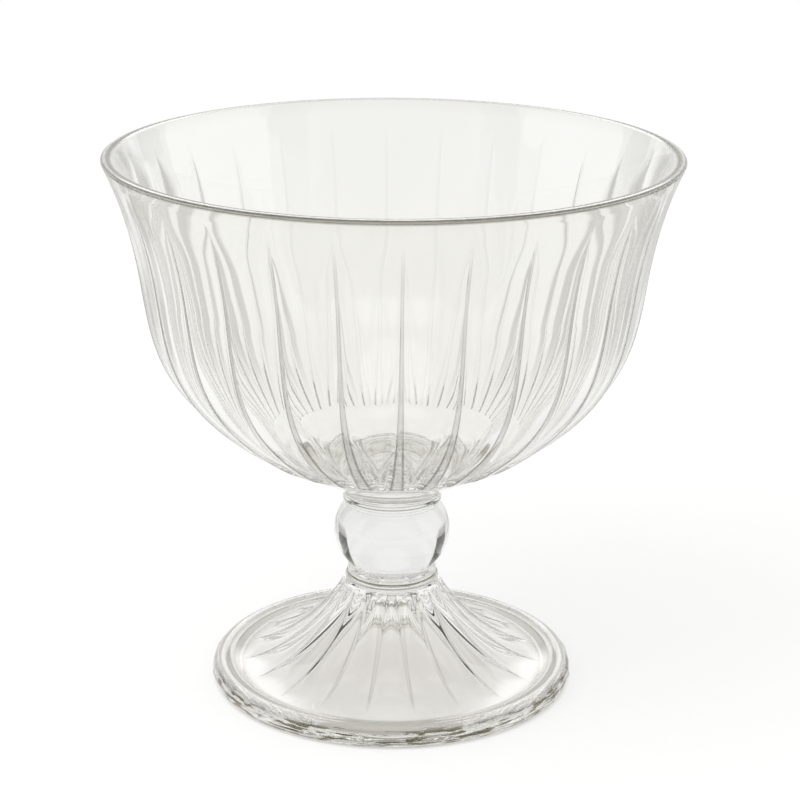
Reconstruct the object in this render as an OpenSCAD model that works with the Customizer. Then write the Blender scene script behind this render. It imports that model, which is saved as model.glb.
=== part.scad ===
// Footed dessert bowl of clear pressed glass: a fluted bowl on a collared round knop and a fluted foot.
// The bowl stands on the XY plane with its axis on Z. All sizes are in millimetres.

/* [Bowl] */
// Outer diameter of the lip
rim_d = 115; // [105:1:125]
// Height of the bowl from its seat on the neck collar to the top of the lip
bowl_h = 71.1; // [66:0.1:80]
// Width of the lip across its rounded top
lip_t = 2.4; // [1.8:0.1:3]
// Height of the lip's rounded edge
lip_h = 1.1; // [0.8:0.1:1.8]
// Slope of the flared wall just under the lip, in degrees
lip_slope = 65; // [55:1:80]
// Outer diameter at the belly, where the wall is steepest
belly_d = 101.4; // [96:0.2:106]
// Height of the belly above the bowl's seat
belly_h = 45.8; // [42:0.2:49]
// Slope of the wall at the belly, in degrees
belly_slope = 81.5; // [77:0.5:88]
// Outer diameter where the cone under the bowl turns up into the wall
underside_d = 56; // [50:1:62]
// Height of that turn above the bowl's seat
underside_h = 10.5; // [9:0.1:12]
// Slope of the wall at that turn, in degrees
underside_slope = 33; // [28:1:38]
// Wall thickness over the ribs
bowl_wall = 3; // [2.4:0.1:3.6]
// Thickness of the solid glass under the bowl's floor
floor_t = 9.5; // [8:0.1:11]

/* [Bowl flutes] */
// Number of flutes round the bowl
bowl_flutes = 28; // [20:1:32]
// Depth of a bowl flute
bowl_flute_depth = 0.8; // [0.3:0.1:1.2]
// Width of the land between two flutes at their lower ends
bowl_land_low = 2.4; // [1.8:0.1:3]
// Width of the rib that the land narrows to on the wall
bowl_land_high = 0.6; // [0.3:0.1:1]
// Height of the flutes' lower ends above the bowl's seat
bowl_flute_start = 9.2; // [8.4:0.1:10]
// Distance from the top of the lip down to where the flutes have run out
bowl_flute_stop = 4; // [3:0.5:8]
// Height above the bowl's seat at which the land has become a thin rib
bowl_land_rise = 40; // [30:1:48]

/* [Stem] */
// Diameter of the neck collar under the bowl
neck_d = 20.4; // [18:0.2:23]
// Height of the neck collar with its bead
neck_collar_h = 2.2; // [1.8:0.1:3]
// Height of the bead at the neck collar's lower edge
neck_bead_h = 0.7; // [0.4:0.1:1]
// Diameter of the bead at the neck collar's lower edge
neck_bead_d = 20; // [18:0.2:23]
// Largest diameter of the knop
knop_d = 24; // [22:0.2:28]
// Radius of the knop's round outline
knop_round = 9; // [8.5:0.1:11]
// Height of the knop below its largest diameter
knop_low_h = 6.9; // [5:0.1:8]
// Height of the knop above its largest diameter
knop_high_h = 6.1; // [5:0.1:8]
// Diameter of the foot collar's upper band
foot_collar_d = 18.4; // [16:0.2:22]
// Height of the foot collar with its bead
foot_collar_h = 3.8; // [3:0.1:5]
// Diameter of the bead at the foot collar's lower edge
foot_bead_d = 19.4; // [17:0.2:23]
// Height of the bead at the foot collar's lower edge
foot_bead_h = 1.4; // [0.8:0.1:2]
// Rounding of the collar bands' edges
band_edge = 0.3; // [0.1:0.05:0.45]

/* [Foot] */
// Largest diameter of the foot
foot_d = 75.5; // [68:0.5:84]
// Height of the foot from the table to its seat under the foot collar
foot_h = 21.5; // [19:0.5:26]
// Diameter of the foot's top
foot_top_d = 19.7; // [18:0.1:23]
// Slope of the foot's wall at its top, measured in degrees from the outward direction
foot_top_slope = 118; // [108:1:128]
// Width of the rounded ring round the foot
ring_w = 4.6; // [3.6:0.1:5.6]
// Height of the rounded ring
ring_h = 4.4; // [3.6:0.1:5.2]
// Height of the ring's widest point
ring_widest_h = 1.9; // [1.4:0.1:2.4]
// Step from the ring's top down to the foot's upper face
ring_step = 0.5; // [0.2:0.1:0.8]
// Width of the flat face that the foot rests on
rest_w = 4.6; // [3:0.1:6]
// Distance from the foot's largest diameter in to that flat face
rest_inset = 1.6; // [1:0.1:2.4]
// Thickness of the glass above the hollow under the foot
foot_crown_t = 3.7; // [2.5:0.1:6]

/* [Foot flutes] */
// Number of flutes round the foot
foot_flutes = 20; // [14:1:26]
// Depth of a foot flute
foot_flute_depth = 0.6; // [0.2:0.1:0.9]
// Width of the rib between two foot flutes
foot_land = 0.6; // [0.3:0.1:0.9]
// Diameter at which the foot's flutes have run out
foot_flute_d = 64; // [54:1:65]
// Distance from the foot's top down to the flutes' upper ends
foot_flute_start = 0.6; // [0.3:0.1:1.2]

/* [Hidden] */
$fn = 64;
glass = [0.88, 0.90, 0.88, 0.55];

// Heights of the seats at which the glass pieces are fused
foot_top_z = foot_h;
knop_seat_z = foot_top_z + foot_collar_h;
knop_widest_z = knop_seat_z + knop_low_h;
knop_top_z = knop_widest_z + knop_high_h;
bowl_seat_z = knop_top_z + neck_collar_h;
rim_z = bowl_seat_z + bowl_h;

// Turn of the flutes: a bowl rib stands just beside the front, and a foot flute faces it
bowl_turn = 2;
foot_turn = 180 / foot_flutes;

// Points across one flute, as shares of its half width
flute_shares = [-1, -0.5, 0, 0.5, 1];

// Lengths of the pulls that shape the smooth curves between stations
neck_slope = 76;
neck_pull = 2.8;
underside_pull = 3.2;
underside_rise_pull = 23.5;
belly_low_pull = 12;
belly_high_pull = 3;
lip_pull = 12;
floor_edge_pull = 5;
floor_pull = 14;
ring_low_pull = 0.9;
ring_pull = 1.2;
trumpet_low_slope = 170;
trumpet_low_pull = 12;
trumpet_top_pull = 8;
hollow_edge_round = 0.6;
hollow_edge_slope = -8;
hollow_edge_pull = 17;
hollow_top_pull = 12;

// Lengths over which flutes deepen at one end and run out at the other
bowl_flute_run_in = 1;
bowl_flute_run_out = 6;
foot_flute_run_in = 1;
foot_flute_run_out = 10;

function ease(x) =
    let (c = min(max(x, 0), 1))
    c * c * (3 - 2 * c);

function along(slope) = [cos(slope), sin(slope)];

// A station on an outline is [radius, height, slope, pull before it, pull after it].
function station_point(s) = [s[0], s[1]];

function handles(a, b) = [
    station_point(a),
    station_point(a) + a[4] * along(a[2]),
    station_point(b) - b[3] * along(b[2]),
    station_point(b)
];

function curve_point(p, t) =
    pow(1 - t, 3) * p[0] + 3 * pow(1 - t, 2) * t * p[1] + 3 * (1 - t) * t * t * p[2] + pow(t, 3) * p[3];

function curve_slope(p, t) =
    let (d = pow(1 - t, 2) * (p[1] - p[0]) + 2 * (1 - t) * t * (p[2] - p[1]) + t * t * (p[3] - p[2]))
    atan2(d[1], d[0]);

// Rings [radius, height, slope] from station a up to, but not at, station b
function stretch(a, b, steps) = [
    for (i = [0 : steps - 1])
        let (p = handles(a, b), t = i / steps)
        concat(curve_point(p, t), curve_slope(p, t))
];

// Point of the lip's oval edge at angle a
function lip_point(centre, a) = centre + [lip_t / 2 * cos(a), lip_h / 2 * sin(a)];

// Rings round the lip, from the outer wall past its widest point and its top to the inner wall
function lip_rings(centre, start) = [
    for (a = [start, 0, 35, 90, 145])
        concat(lip_point(centre, a), atan2(lip_h * cos(a), -lip_t * sin(a)))
];

// Depth of a bowl flute, and width of the land beside it, at height z
function bowl_depth(z) =
    bowl_flute_depth
    * ease((z - bowl_seat_z - bowl_flute_start) / bowl_flute_run_in)
    * ease((rim_z - bowl_flute_stop - z) / bowl_flute_run_out);

function bowl_land(z) =
    let (share = min(max((z - bowl_seat_z - bowl_flute_start) / (bowl_land_rise - bowl_flute_start), 0), 1))
    bowl_land_low + (bowl_land_high - bowl_land_low) * share;

// Depth of a foot flute at radius r and height z
function foot_depth(r, z) =
    foot_flute_depth
    * ease((foot_top_z - foot_flute_start - z) / foot_flute_run_in)
    * ease((foot_flute_d / 2 - r) / foot_flute_run_out);

// Points of one ring: each flute sinks from its two edges along the inward normal, and lands lie between.
// On a narrow ring the land gives way, so that a flute keeps at least half of its share of the ring.
function ring_points(ring, depth, land, count, turn) = [
    for (k = [0 : count - 1], u = flute_shares)
        let (
            half = max(180 / count - asin(land / 2 / ring[0]), 90 / count),
            a = turn - 90 + 360 * (k + 0.5) / count + u * half,
            sunk = depth * (1 - u * u),
            r = ring[0] - sunk * sin(ring[2])
        )
        [r * cos(a), r * sin(a), ring[1] + sunk * cos(ring[2])]
];

// Closed solid from a pole on the axis, through rings of points, to a second pole
module ringed_solid(low_pole, rings, high_pole) {
    count = len(rings[0]);
    last = len(rings) - 1;
    points = concat([[0, 0, low_pole]], [for (ring = rings) each ring], [[0, 0, high_pole]]);
    top = len(points) - 1;
    low_fan = [for (i = [0 : count - 1]) [0, 1 + i, 1 + (i + 1) % count]];
    walls = [
        for (j = [0 : last - 1], i = [0 : count - 1])
            let (
                a = 1 + j * count + i,
                b = 1 + j * count + (i + 1) % count
            )
            each [[a, a + count, b], [b, a + count, b + count]]
    ];
    high_fan = [
        for (i = [0 : count - 1])
            [top, 1 + last * count + (i + 1) % count, 1 + last * count + i]
    ];
    polyhedron(points, concat(low_fan, walls, high_fan));
}

// Half outline of a round band with rounded edges
module band(d, z, h, edge) {
    translate([0, z]) square([d / 2 - edge, h]);
    translate([0, z + edge]) square([d / 2, h - 2 * edge]);
    translate([d / 2 - edge, z + edge]) circle(edge);
    translate([d / 2 - edge, z + h - edge]) circle(edge);
}

// Half outline of a round bead with a half-round edge
module bead(d, z, h) {
    translate([0, z]) square([(d - h) / 2, h]);
    translate([(d - h) / 2, z + h / 2]) circle(h / 2);
}

// Fluted bowl with a smooth inside, a solid base and a rounded, flared lip
module bowl() {
    lip_centre = [(rim_d - lip_t) / 2, rim_z - lip_h / 2];
    lip_start = -atan(lip_h / (lip_t * tan(lip_slope)));
    lip_out = lip_point(lip_centre, lip_start);
    lip_in = lip_point(lip_centre, lip_start + 180);
    belly_z = bowl_seat_z + belly_h;
    under_z = bowl_seat_z + underside_h;
    under_in = [underside_d / 2, under_z] + bowl_wall * along(underside_slope + 90);
    seat = [neck_d / 2, bowl_seat_z, neck_slope, 0, neck_pull];
    under = [underside_d / 2, under_z, underside_slope, underside_pull, underside_rise_pull];
    belly = [belly_d / 2, belly_z, belly_slope, belly_low_pull, belly_high_pull];
    lip = concat(lip_out, lip_slope, lip_pull, 0);
    lip_inner = concat(lip_in, lip_slope + 180, 0, lip_pull);
    belly_inner = [belly_d / 2 - bowl_wall, belly_z, belly_slope + 180, belly_high_pull, belly_low_pull];
    under_inner = concat(under_in, underside_slope + 180, underside_rise_pull, floor_edge_pull);
    floor_centre = [0, bowl_seat_z + floor_t, 180, floor_pull, 0];
    outer = concat(stretch(seat, under, 6), stretch(under, belly, 8), stretch(belly, lip, 6));
    inner = concat(
        stretch(lip_inner, belly_inner, 3), stretch(belly_inner, under_inner, 5),
        stretch(under_inner, floor_centre, 3)
    );
    fluted = [
        for (ring = outer)
            ring_points(ring, bowl_depth(ring[1]), bowl_land(ring[1]), bowl_flutes, bowl_turn)
    ];
    plain = [
        for (ring = concat(lip_rings(lip_centre, lip_start), inner))
            ring_points(ring, 0, bowl_land(ring[1]), bowl_flutes, bowl_turn)
    ];
    color(glass) ringed_solid(bowl_seat_z, concat(fluted, plain), bowl_seat_z + floor_t);
}

// Collar between the knop and the bowl: a plain band over a thin bead
module neck_collar() {
    color(glass) rotate_extrude() {
        bead(neck_bead_d, knop_top_z, neck_bead_h);
        translate([0, knop_top_z + neck_bead_h]) square([neck_d / 2, neck_collar_h - neck_bead_h]);
    }
}

// Solid round knop
module knop() {
    color(glass) rotate_extrude() intersection() {
        translate([knop_d / 2 - knop_round, knop_widest_z]) circle(knop_round);
        translate([0, knop_seat_z]) square([knop_d, knop_low_h + knop_high_h]);
    }
}

// Collar between the foot and the knop: a bead under a plain band
module foot_collar() {
    color(glass) rotate_extrude() {
        bead(foot_bead_d, foot_top_z, foot_bead_h);
        band(foot_collar_d, foot_top_z + foot_bead_h, foot_collar_h - foot_bead_h, band_edge);
    }
}

// Trumpet foot, hollow below, with flutes that run out before its rounded ring
module foot() {
    foot_r = foot_d / 2;
    rest_out = foot_r - rest_inset;
    rest_in = rest_out - rest_w;
    ring_in = foot_r - ring_w;
    hollow_z = foot_top_z - foot_crown_t;
    hollow_top = [0, hollow_z, 0, 0, hollow_top_pull];
    hollow_edge = [rest_in - hollow_edge_round, hollow_edge_round, hollow_edge_slope, hollow_edge_pull, 0];
    ring_low = [rest_out, 0, 0, 0, ring_low_pull];
    ring_side = [foot_r, ring_widest_h, 90, ring_pull, ring_pull];
    ring_top = [(foot_r + ring_in) / 2, ring_h, 180, ring_pull, ring_pull];
    trumpet_low = [ring_in, ring_h - ring_step, trumpet_low_slope, ring_pull, trumpet_low_pull];
    trumpet_top = [foot_top_d / 2, foot_top_z, foot_top_slope, trumpet_top_pull, 0];
    hollow = [for (ring = stretch(hollow_top, hollow_edge, 8)) if (ring[0] > 0) ring];
    edge = concat(
        [hollow_edge, [rest_in, 0, 0]], stretch(ring_low, ring_side, 3),
        stretch(ring_side, ring_top, 4), stretch(ring_top, trumpet_low, 3)
    );
    trumpet = concat(stretch(trumpet_low, trumpet_top, 11), [trumpet_top]);
    plain = [
        for (ring = concat(hollow, edge))
            ring_points(ring, 0, foot_land, foot_flutes, foot_turn)
    ];
    fluted = [
        for (ring = trumpet)
            ring_points(ring, foot_depth(ring[0], ring[1]), foot_land, foot_flutes, foot_turn)
    ];
    color(glass) ringed_solid(hollow_z, concat(plain, fluted), foot_top_z);
}

bowl();
neck_collar();
knop();
foot_collar();
foot();
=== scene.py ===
# %% [markdown]
# # A footed dessert bowl of clear pressed glass
# The bowl is five gathers of glass, fused one on the other: a fluted foot, a ringed collar, a round knop,
# a second collar and a fluted bowl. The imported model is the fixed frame. Every piece here keeps the frame's
# sizes and replaces one of its solids with a finer, smoother skin, because clear glass shows every facet.

# %% Load the frame
import math

import bpy
from mathutils import Matrix, Vector


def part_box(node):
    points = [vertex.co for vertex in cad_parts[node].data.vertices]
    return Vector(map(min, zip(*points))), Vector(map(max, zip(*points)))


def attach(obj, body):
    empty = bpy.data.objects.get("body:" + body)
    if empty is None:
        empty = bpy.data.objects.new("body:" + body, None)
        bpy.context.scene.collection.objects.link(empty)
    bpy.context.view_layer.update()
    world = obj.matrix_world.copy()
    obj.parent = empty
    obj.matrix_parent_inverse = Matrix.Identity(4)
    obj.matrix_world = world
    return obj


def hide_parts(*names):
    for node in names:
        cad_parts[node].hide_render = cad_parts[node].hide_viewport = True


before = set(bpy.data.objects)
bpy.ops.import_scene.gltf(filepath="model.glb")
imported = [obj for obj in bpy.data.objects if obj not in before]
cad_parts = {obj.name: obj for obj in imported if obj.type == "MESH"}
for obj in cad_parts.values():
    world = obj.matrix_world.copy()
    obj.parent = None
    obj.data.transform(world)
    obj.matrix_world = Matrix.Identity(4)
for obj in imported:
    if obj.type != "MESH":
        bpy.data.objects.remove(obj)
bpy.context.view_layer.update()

# %% [markdown]
# ## Sizes
# Heights and outer radii come from the frame's own boxes, so the skins fit the solids. What a box can't
# tell, such as a wall or a flute, is written once, in metres, just before the piece that needs it.

# %% Seats and sizes taken from the frame
MM = 0.001
FOOT_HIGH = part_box("foot")[1]
FOOT_COLLAR_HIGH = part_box("foot_collar")[1]
KNOP_LOW, KNOP_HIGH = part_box("knop")
NECK_LOW, NECK_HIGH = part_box("neck_collar")
BOWL_LOW, BOWL_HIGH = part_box("bowl")
FOOT_RADIUS = FOOT_HIGH.x
RIM_RADIUS = BOWL_HIGH.x
NECK_RADIUS = NECK_HIGH.x
levels = (FOOT_HIGH.z, KNOP_LOW.z, KNOP_HIGH.z, BOWL_LOW.z, BOWL_HIGH.z)
print("seats and rim at", [round(z / MM, 2) for z in levels], "mm")

# %% [markdown]
# ## Outlines
# A turned piece is an outline spun round the axis. An outline here is a chain of points in the XZ plane, and
# each point knows more than its place: which way is into the glass, how much of the flute's depth it gets,
# how wide the ribs are there, where the glass looks deeper or streaked, and whether it lies on a seat that is
# fused to the next piece. Smooth stretches are cubic curves between two stations, the way a draughtsman sets
# a spline: a point, a slope and how hard the slope pulls.

# %% Curves between stations


def along(slope):
    """Unit step in a direction given in degrees from straight out."""
    return Vector((math.cos(math.radians(slope)), math.sin(math.radians(slope))))


def station(radius, height, slope, pull_before=0.0, pull_after=0.0):
    """A point of an outline, in metres, with its slope in degrees and the pulls on both sides of it."""
    return {"point": Vector((radius, height)), "slope": slope, "before": pull_before, "after": pull_after}


def smooth(a, b, steps, finer=()):
    """Points from station a up to, but not at, station b, with finer ones at given shares of the way."""
    p0, p3 = a["point"], b["point"]
    p1 = p0 + a["after"] * along(a["slope"])
    p2 = p3 - b["before"] * along(b["slope"])
    ts = sorted([i / steps for i in range(steps)] + list(finer))
    return [(1 - t) ** 3 * p0 + 3 * (1 - t) ** 2 * t * p1 + 3 * (1 - t) * t * t * p2 + t**3 * p3 for t in ts]


def arc(centre, radius, start, end, steps):
    """Points on a circle from one angle up to, and at, the other, in degrees."""
    return [centre + radius * along(start + (end - start) * i / steps) for i in range(steps + 1)]


def straight(a, b, steps):
    """Points from a up to, but not at, b."""
    return [a.lerp(b, i / steps) for i in range(steps)]


def seat_disc(height, radius):
    """Points from the axis out to the edge of a fused seat."""
    return [Vector((radius * share, height)) for share in (0.0, 0.5, 1.0)]


# %% Values that change along an outline


def ease(x):
    """Smooth rise from 0 to 1."""
    x = min(max(x, 0.0), 1.0)
    return x * x * (3 - 2 * x)


def line_at(value, middle, half_width):
    """1 in the middle of a narrow line, 0 beside it."""
    return ease(1 - abs(value - middle) / half_width)


def between(value, stops):
    """Value of a chain of straight lines through the given stops, a row of pairs."""
    for (start, low), (end, high) in zip(stops, stops[1:]):
        if value <= end:
            return low + (high - low) * max(value - start, 0) / (end - start)
    return stops[-1][1]


# %% Outline objects
NO_GAP = 0.0001 * MM


def outline_object(name, points, seats=(), flute=None, rib=None, edge=None, dashes=None):
    """A chain of points as a mesh line, with the glass on its left, ready for the spinning tree."""
    mesh = bpy.data.meshes.new(name)
    mesh.from_pydata([(p.x, 0, p.y) for p in points], [(i, i + 1) for i in range(len(points) - 1)], [])
    mesh.attributes.new("inward", "FLOAT_VECTOR", "POINT")
    for title in ("flute", "rib", "seat", "edge", "dashes"):
        mesh.attributes.new(title, "FLOAT", "POINT")
    kept = mesh.attributes
    for i, p in enumerate(points):
        step = (points[min(i + 1, len(points) - 1)] - points[max(i - 1, 0)]).normalized()
        on_seat = any(abs(p.y - z) < NO_GAP and p.x <= radius + NO_GAP for z, radius in seats)
        kept["inward"].data[i].vector = (-step.y, 0, step.x)
        kept["flute"].data[i].value = flute(p) if flute else 0.0
        kept["rib"].data[i].value = rib(p) if rib else 1.0
        kept["seat"].data[i].value = float(on_seat)
        kept["edge"].data[i].value = edge(p) if edge else 0.0
        kept["dashes"].data[i].value = dashes(p) if dashes else 0.0
    line = bpy.data.objects.new(name, mesh)
    bpy.context.scene.collection.objects.link(line)
    print(name, "outline:", len(points), "points")
    return line


# %% [markdown]
# ## The spinning tree
# Flutes repeat by a rule, so Geometry Nodes make every piece. The tree lays out a grid, one column for each
# step round the axis and one row for each outline point, and moves each grid point to its place: it looks
# up its outline point, turns it round the axis, and sinks it into the glass by the flute's hollow. Columns
# crowd towards the ribs, where the surface turns fastest. A piece without flutes has a depth of zero.

# %% Helpers for node trees


def wire(tree, node, **inputs):
    """Sets or links a node's inputs by name, with spaces written as underscores."""
    for name, value in inputs.items():
        socket = next(s for s in node.inputs if s.name == name.replace("_", " ") and s.enabled)
        if isinstance(value, bpy.types.NodeSocket):
            tree.links.new(value, socket)
        else:
            socket.default_value = value
    return node


def maths(tree, operation, *values):
    """A Math node's result, from numbers and sockets."""
    node = tree.nodes.new("ShaderNodeMath")
    node.operation = operation
    for socket, value in zip(node.inputs, values):
        if isinstance(value, bpy.types.NodeSocket):
            tree.links.new(value, socket)
        else:
            socket.default_value = value
    return node.outputs[0]


def times(tree, first, *others):
    """Product of numbers and sockets."""
    for other in others:
        first = maths(tree, "MULTIPLY", first, other)
    return first


def plus(tree, first, *others):
    """Sum of numbers and sockets."""
    for other in others:
        first = maths(tree, "ADD", first, other)
    return first


def minus(tree, whole, part):
    """Difference of two numbers or sockets."""
    return maths(tree, "SUBTRACT", whole, part)


def ranged(tree, value, start, end, low=0.0, high=1.0, change="LINEAR"):
    """Change from low to high while value goes from start to end."""
    node = tree.nodes.new("ShaderNodeMapRange")
    node.interpolation_type = change
    wire(tree, node, Value=value, From_Min=start, From_Max=end, To_Min=low, To_Max=high)
    return node.outputs["Result"]


def eased(tree, value, start, end, low=0.0, high=1.0):
    """Smooth change from low to high while value goes from start to end."""
    return ranged(tree, value, start, end, low, high, "SMOOTHSTEP")


# %% Inputs of the tree
spin = bpy.data.node_groups.new("spun_glass", "GeometryNodeTree")
spin.interface.new_socket("Outline", in_out="INPUT", socket_type="NodeSocketGeometry")
for title, kind in (
    ("Flutes", "NodeSocketInt"),
    ("Columns", "NodeSocketInt"),
    ("Depth", "NodeSocketFloat"),
    ("Panel Sag", "NodeSocketFloat"),
    ("Rib Shade", "NodeSocketFloat"),
    ("Turn", "NodeSocketFloat"),
    ("Glass", "NodeSocketMaterial"),
    ("Fused Seat", "NodeSocketMaterial"),
):
    spin.interface.new_socket(title, in_out="INPUT", socket_type=kind)
spin.interface.new_socket("Piece", in_out="OUTPUT", socket_type="NodeSocketGeometry")
given = spin.nodes.new("NodeGroupInput").outputs
print("spun_glass inputs:", [s.name for s in given if s.name])

# %% Grid and the outline point that each grid point follows
outline_size = wire(spin, spin.nodes.new("GeometryNodeAttributeDomainSize"), Geometry=given["Outline"])
rows = outline_size.outputs["Point Count"]
steps_round = times(spin, given["Flutes"], given["Columns"])
grid = wire(
    spin,
    spin.nodes.new("GeometryNodeMeshGrid"),
    Size_X=1.0,
    Size_Y=1.0,
    Vertices_X=plus(spin, steps_round, 1),
    Vertices_Y=rows,
)
grid_point = spin.nodes.new("GeometryNodeInputPosition").outputs[0]
place = wire(spin, spin.nodes.new("ShaderNodeSeparateXYZ"), Vector=grid_point).outputs
column = maths(spin, "ROUND", times(spin, plus(spin, place["X"], 0.5), steps_round))
row = maths(spin, "ROUND", times(spin, plus(spin, place["Y"], 0.5), minus(spin, rows, 1)))


def looked_up(name, kind="FLOAT"):
    """The outline's own value at this grid point's row."""
    if name == "position":
        source = spin.nodes.new("GeometryNodeInputPosition").outputs[0]
    else:
        named = spin.nodes.new("GeometryNodeInputNamedAttribute")
        named.data_type = kind
        source = wire(spin, named, Name=name).outputs["Attribute"]
    sample = spin.nodes.new("GeometryNodeSampleIndex")
    sample.data_type = kind
    return wire(spin, sample, Geometry=given["Outline"], Value=source, Index=row).outputs["Value"]


def looked_up_parts(name):
    """The parts of the outline's own vector at this grid point's row."""
    return wire(spin, spin.nodes.new("ShaderNodeSeparateXYZ"), Vector=looked_up(name, "FLOAT_VECTOR")).outputs


point = looked_up_parts("position")
inward = looked_up_parts("inward")
radius, height = point["X"], point["Z"]
print("grid of", len(spin.nodes), "nodes")

# %% [markdown]
# A flute has a broad, slightly sagging panel and a rounded rib at either side. The panel takes the smaller
# share of the columns and the rib the larger. The rib's flank is a cubic that starts with the panel's slope
# and ends level on the crest, so that nothing creases.

# %% Share of the way from a flute's middle to its rib
PANEL_COLUMNS = 0.4
WIDEST_RIB = 0.8
LEAST_PITCH = 0.01 * MM
pitch = maths(spin, "DIVIDE", math.tau, given["Flutes"])
flute_number = maths(spin, "FLOOR", maths(spin, "DIVIDE", column, given["Columns"]))
step_in_flute = minus(spin, column, times(spin, flute_number, given["Columns"]))
from_left = minus(spin, maths(spin, "DIVIDE", times(spin, step_in_flute, 2.0), given["Columns"]), 1.0)
even_share = maths(spin, "ABSOLUTE", from_left)
half_pitch = maths(spin, "MAXIMUM", times(spin, radius, pitch, 0.5), LEAST_PITCH)
rib_share = maths(spin, "MINIMUM", maths(spin, "DIVIDE", looked_up("rib"), half_pitch), WIDEST_RIB)
rib_foot = minus(spin, 1.0, rib_share)
panel_step = maths(spin, "MINIMUM", maths(spin, "DIVIDE", even_share, PANEL_COLUMNS), 1.0)
past_panel = maths(spin, "DIVIDE", minus(spin, even_share, PANEL_COLUMNS), 1.0 - PANEL_COLUMNS)
rib_step = maths(spin, "MAXIMUM", past_panel, 0.0)
from_middle = plus(spin, times(spin, panel_step, rib_foot), times(spin, rib_step, rib_share))
across = times(spin, from_middle, maths(spin, "SIGN", from_left))
print("columns on a panel:", PANEL_COLUMNS, "of a flute's, widest rib:", WIDEST_RIB, "of its pitch")

# %% Hollow of a flute, from rib to rib
panel_sag = given["Panel Sag"]
panel_hollow = minus(spin, 1.0, times(spin, panel_sag, maths(spin, "POWER", panel_step, 2.0)))
s2 = maths(spin, "POWER", rib_step, 2.0)
s3 = maths(spin, "POWER", rib_step, 3.0)
flank = minus(spin, times(spin, s2, 3.0), times(spin, s3, 2.0))
run_up = plus(spin, minus(spin, s3, times(spin, s2, 2.0)), rib_step)
foot_slope = times(spin, panel_sag, 2.0, maths(spin, "DIVIDE", rib_share, rib_foot))
rib_drop = plus(spin, times(spin, flank, minus(spin, 1.0, panel_sag)), times(spin, run_up, foot_slope))
hollow = minus(spin, panel_hollow, rib_drop)
sunk = times(spin, hollow, given["Depth"], looked_up("flute"))
print("nodes up to the hollow:", len(spin.nodes))

# %% Position round the axis
share_of_pitch = plus(spin, flute_number, plus(spin, times(spin, across, 0.5), 0.5))
front = minus(spin, given["Turn"], math.pi / 2)
angle = plus(spin, front, times(spin, share_of_pitch, pitch))
sunk_radius = plus(spin, radius, times(spin, sunk, inward["X"]))
spun = wire(
    spin,
    spin.nodes.new("ShaderNodeCombineXYZ"),
    X=times(spin, sunk_radius, maths(spin, "COSINE", angle)),
    Y=times(spin, sunk_radius, maths(spin, "SINE", angle)),
    Z=plus(spin, height, times(spin, sunk, inward["Z"])),
)
print("nodes up to the position:", len(spin.nodes))

# %% [markdown]
# A rib bends the sight line so fast that the eye sees a dark line along either flank and a clear crest
# between. The tree keeps that line as a value on the points, for the material to draw. Where a rib is thin,
# its two lines run into one.

# %% Lines along the ribs
THIN_RIB, WIDE_RIB = 0.45 * MM, 1.2 * MM
THIN_CREST, WIDE_CREST = 0.7, 0.12
STANDING_FLUTE = 0.4
LINE_RISE = (0.05, 0.26)
LINE_FALL = (0.3, 0.62)


def stored(geometry, name, value):
    """The geometry with a value kept on its points."""
    store = spin.nodes.new("GeometryNodeStoreNamedAttribute")
    store.data_type = "FLOAT"
    store.domain = "POINT"
    return wire(spin, store, Geometry=geometry, Name=name, Value=value).outputs[0]


crest = eased(spin, looked_up("rib"), THIN_RIB, WIDE_RIB, THIN_CREST, WIDE_CREST)
flank_start = eased(spin, rib_step, *LINE_RISE)
flank_end = eased(spin, rib_step, *LINE_FALL, 1.0, crest)
standing = maths(spin, "MINIMUM", times(spin, looked_up("flute"), 1 / STANDING_FLUTE), 1.0)
rib_line = times(spin, flank_start, flank_end, standing, given["Rib Shade"])
marked = stored(grid.outputs["Mesh"], "rib_line", rib_line)
for title in ("seat", "edge", "dashes"):
    marked = stored(marked, title, looked_up(title))
skin = wire(spin, spin.nodes.new("GeometryNodeSetPosition"), Geometry=marked, Position=spun.outputs[0])
print("spun_glass nodes so far:", len(spin.nodes))

# %% Closed skin, shading and materials
CLOSE_SEAM = 0.001 * MM
SHARP_ANGLE = math.radians(40)
ALL_SEAT = 0.99
merge = spin.nodes.new("GeometryNodeMergeByDistance")
closed = wire(spin, merge, Geometry=skin.outputs[0], Distance=CLOSE_SEAM)
shade_smooth = spin.nodes.new("GeometryNodeSetShadeSmooth")
rounded = wire(spin, shade_smooth, Geometry=closed.outputs[0], Shade_Smooth=True)
edge_angle = spin.nodes.new("GeometryNodeInputMeshEdgeAngle").outputs["Unsigned Angle"]
sharp = maths(spin, "GREATER_THAN", edge_angle, SHARP_ANGLE)
crease = spin.nodes.new("GeometryNodeSetShadeSmooth")
crease.domain = "EDGE"
creased = wire(spin, crease, Geometry=rounded.outputs[0], Selection=sharp, Shade_Smooth=False)
real = wire(spin, spin.nodes.new("GeometryNodeRealizeInstances"), Geometry=creased.outputs[0])
set_glass = spin.nodes.new("GeometryNodeSetMaterial")
glazed = wire(spin, set_glass, Geometry=real.outputs[0], Material=given["Glass"])
seat_mark = spin.nodes.new("GeometryNodeInputNamedAttribute")
seat_mark.data_type = "FLOAT"
wire(spin, seat_mark, Name="seat")
on_seat = maths(spin, "GREATER_THAN", seat_mark.outputs["Attribute"], ALL_SEAT)
set_seat = spin.nodes.new("GeometryNodeSetMaterial")
seated = wire(spin, set_seat, Geometry=glazed.outputs[0], Selection=on_seat, Material=given["Fused Seat"])
spin.links.new(seated.outputs[0], spin.nodes.new("NodeGroupOutput").inputs["Piece"])
print("spun_glass nodes:", len(spin.nodes))
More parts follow.
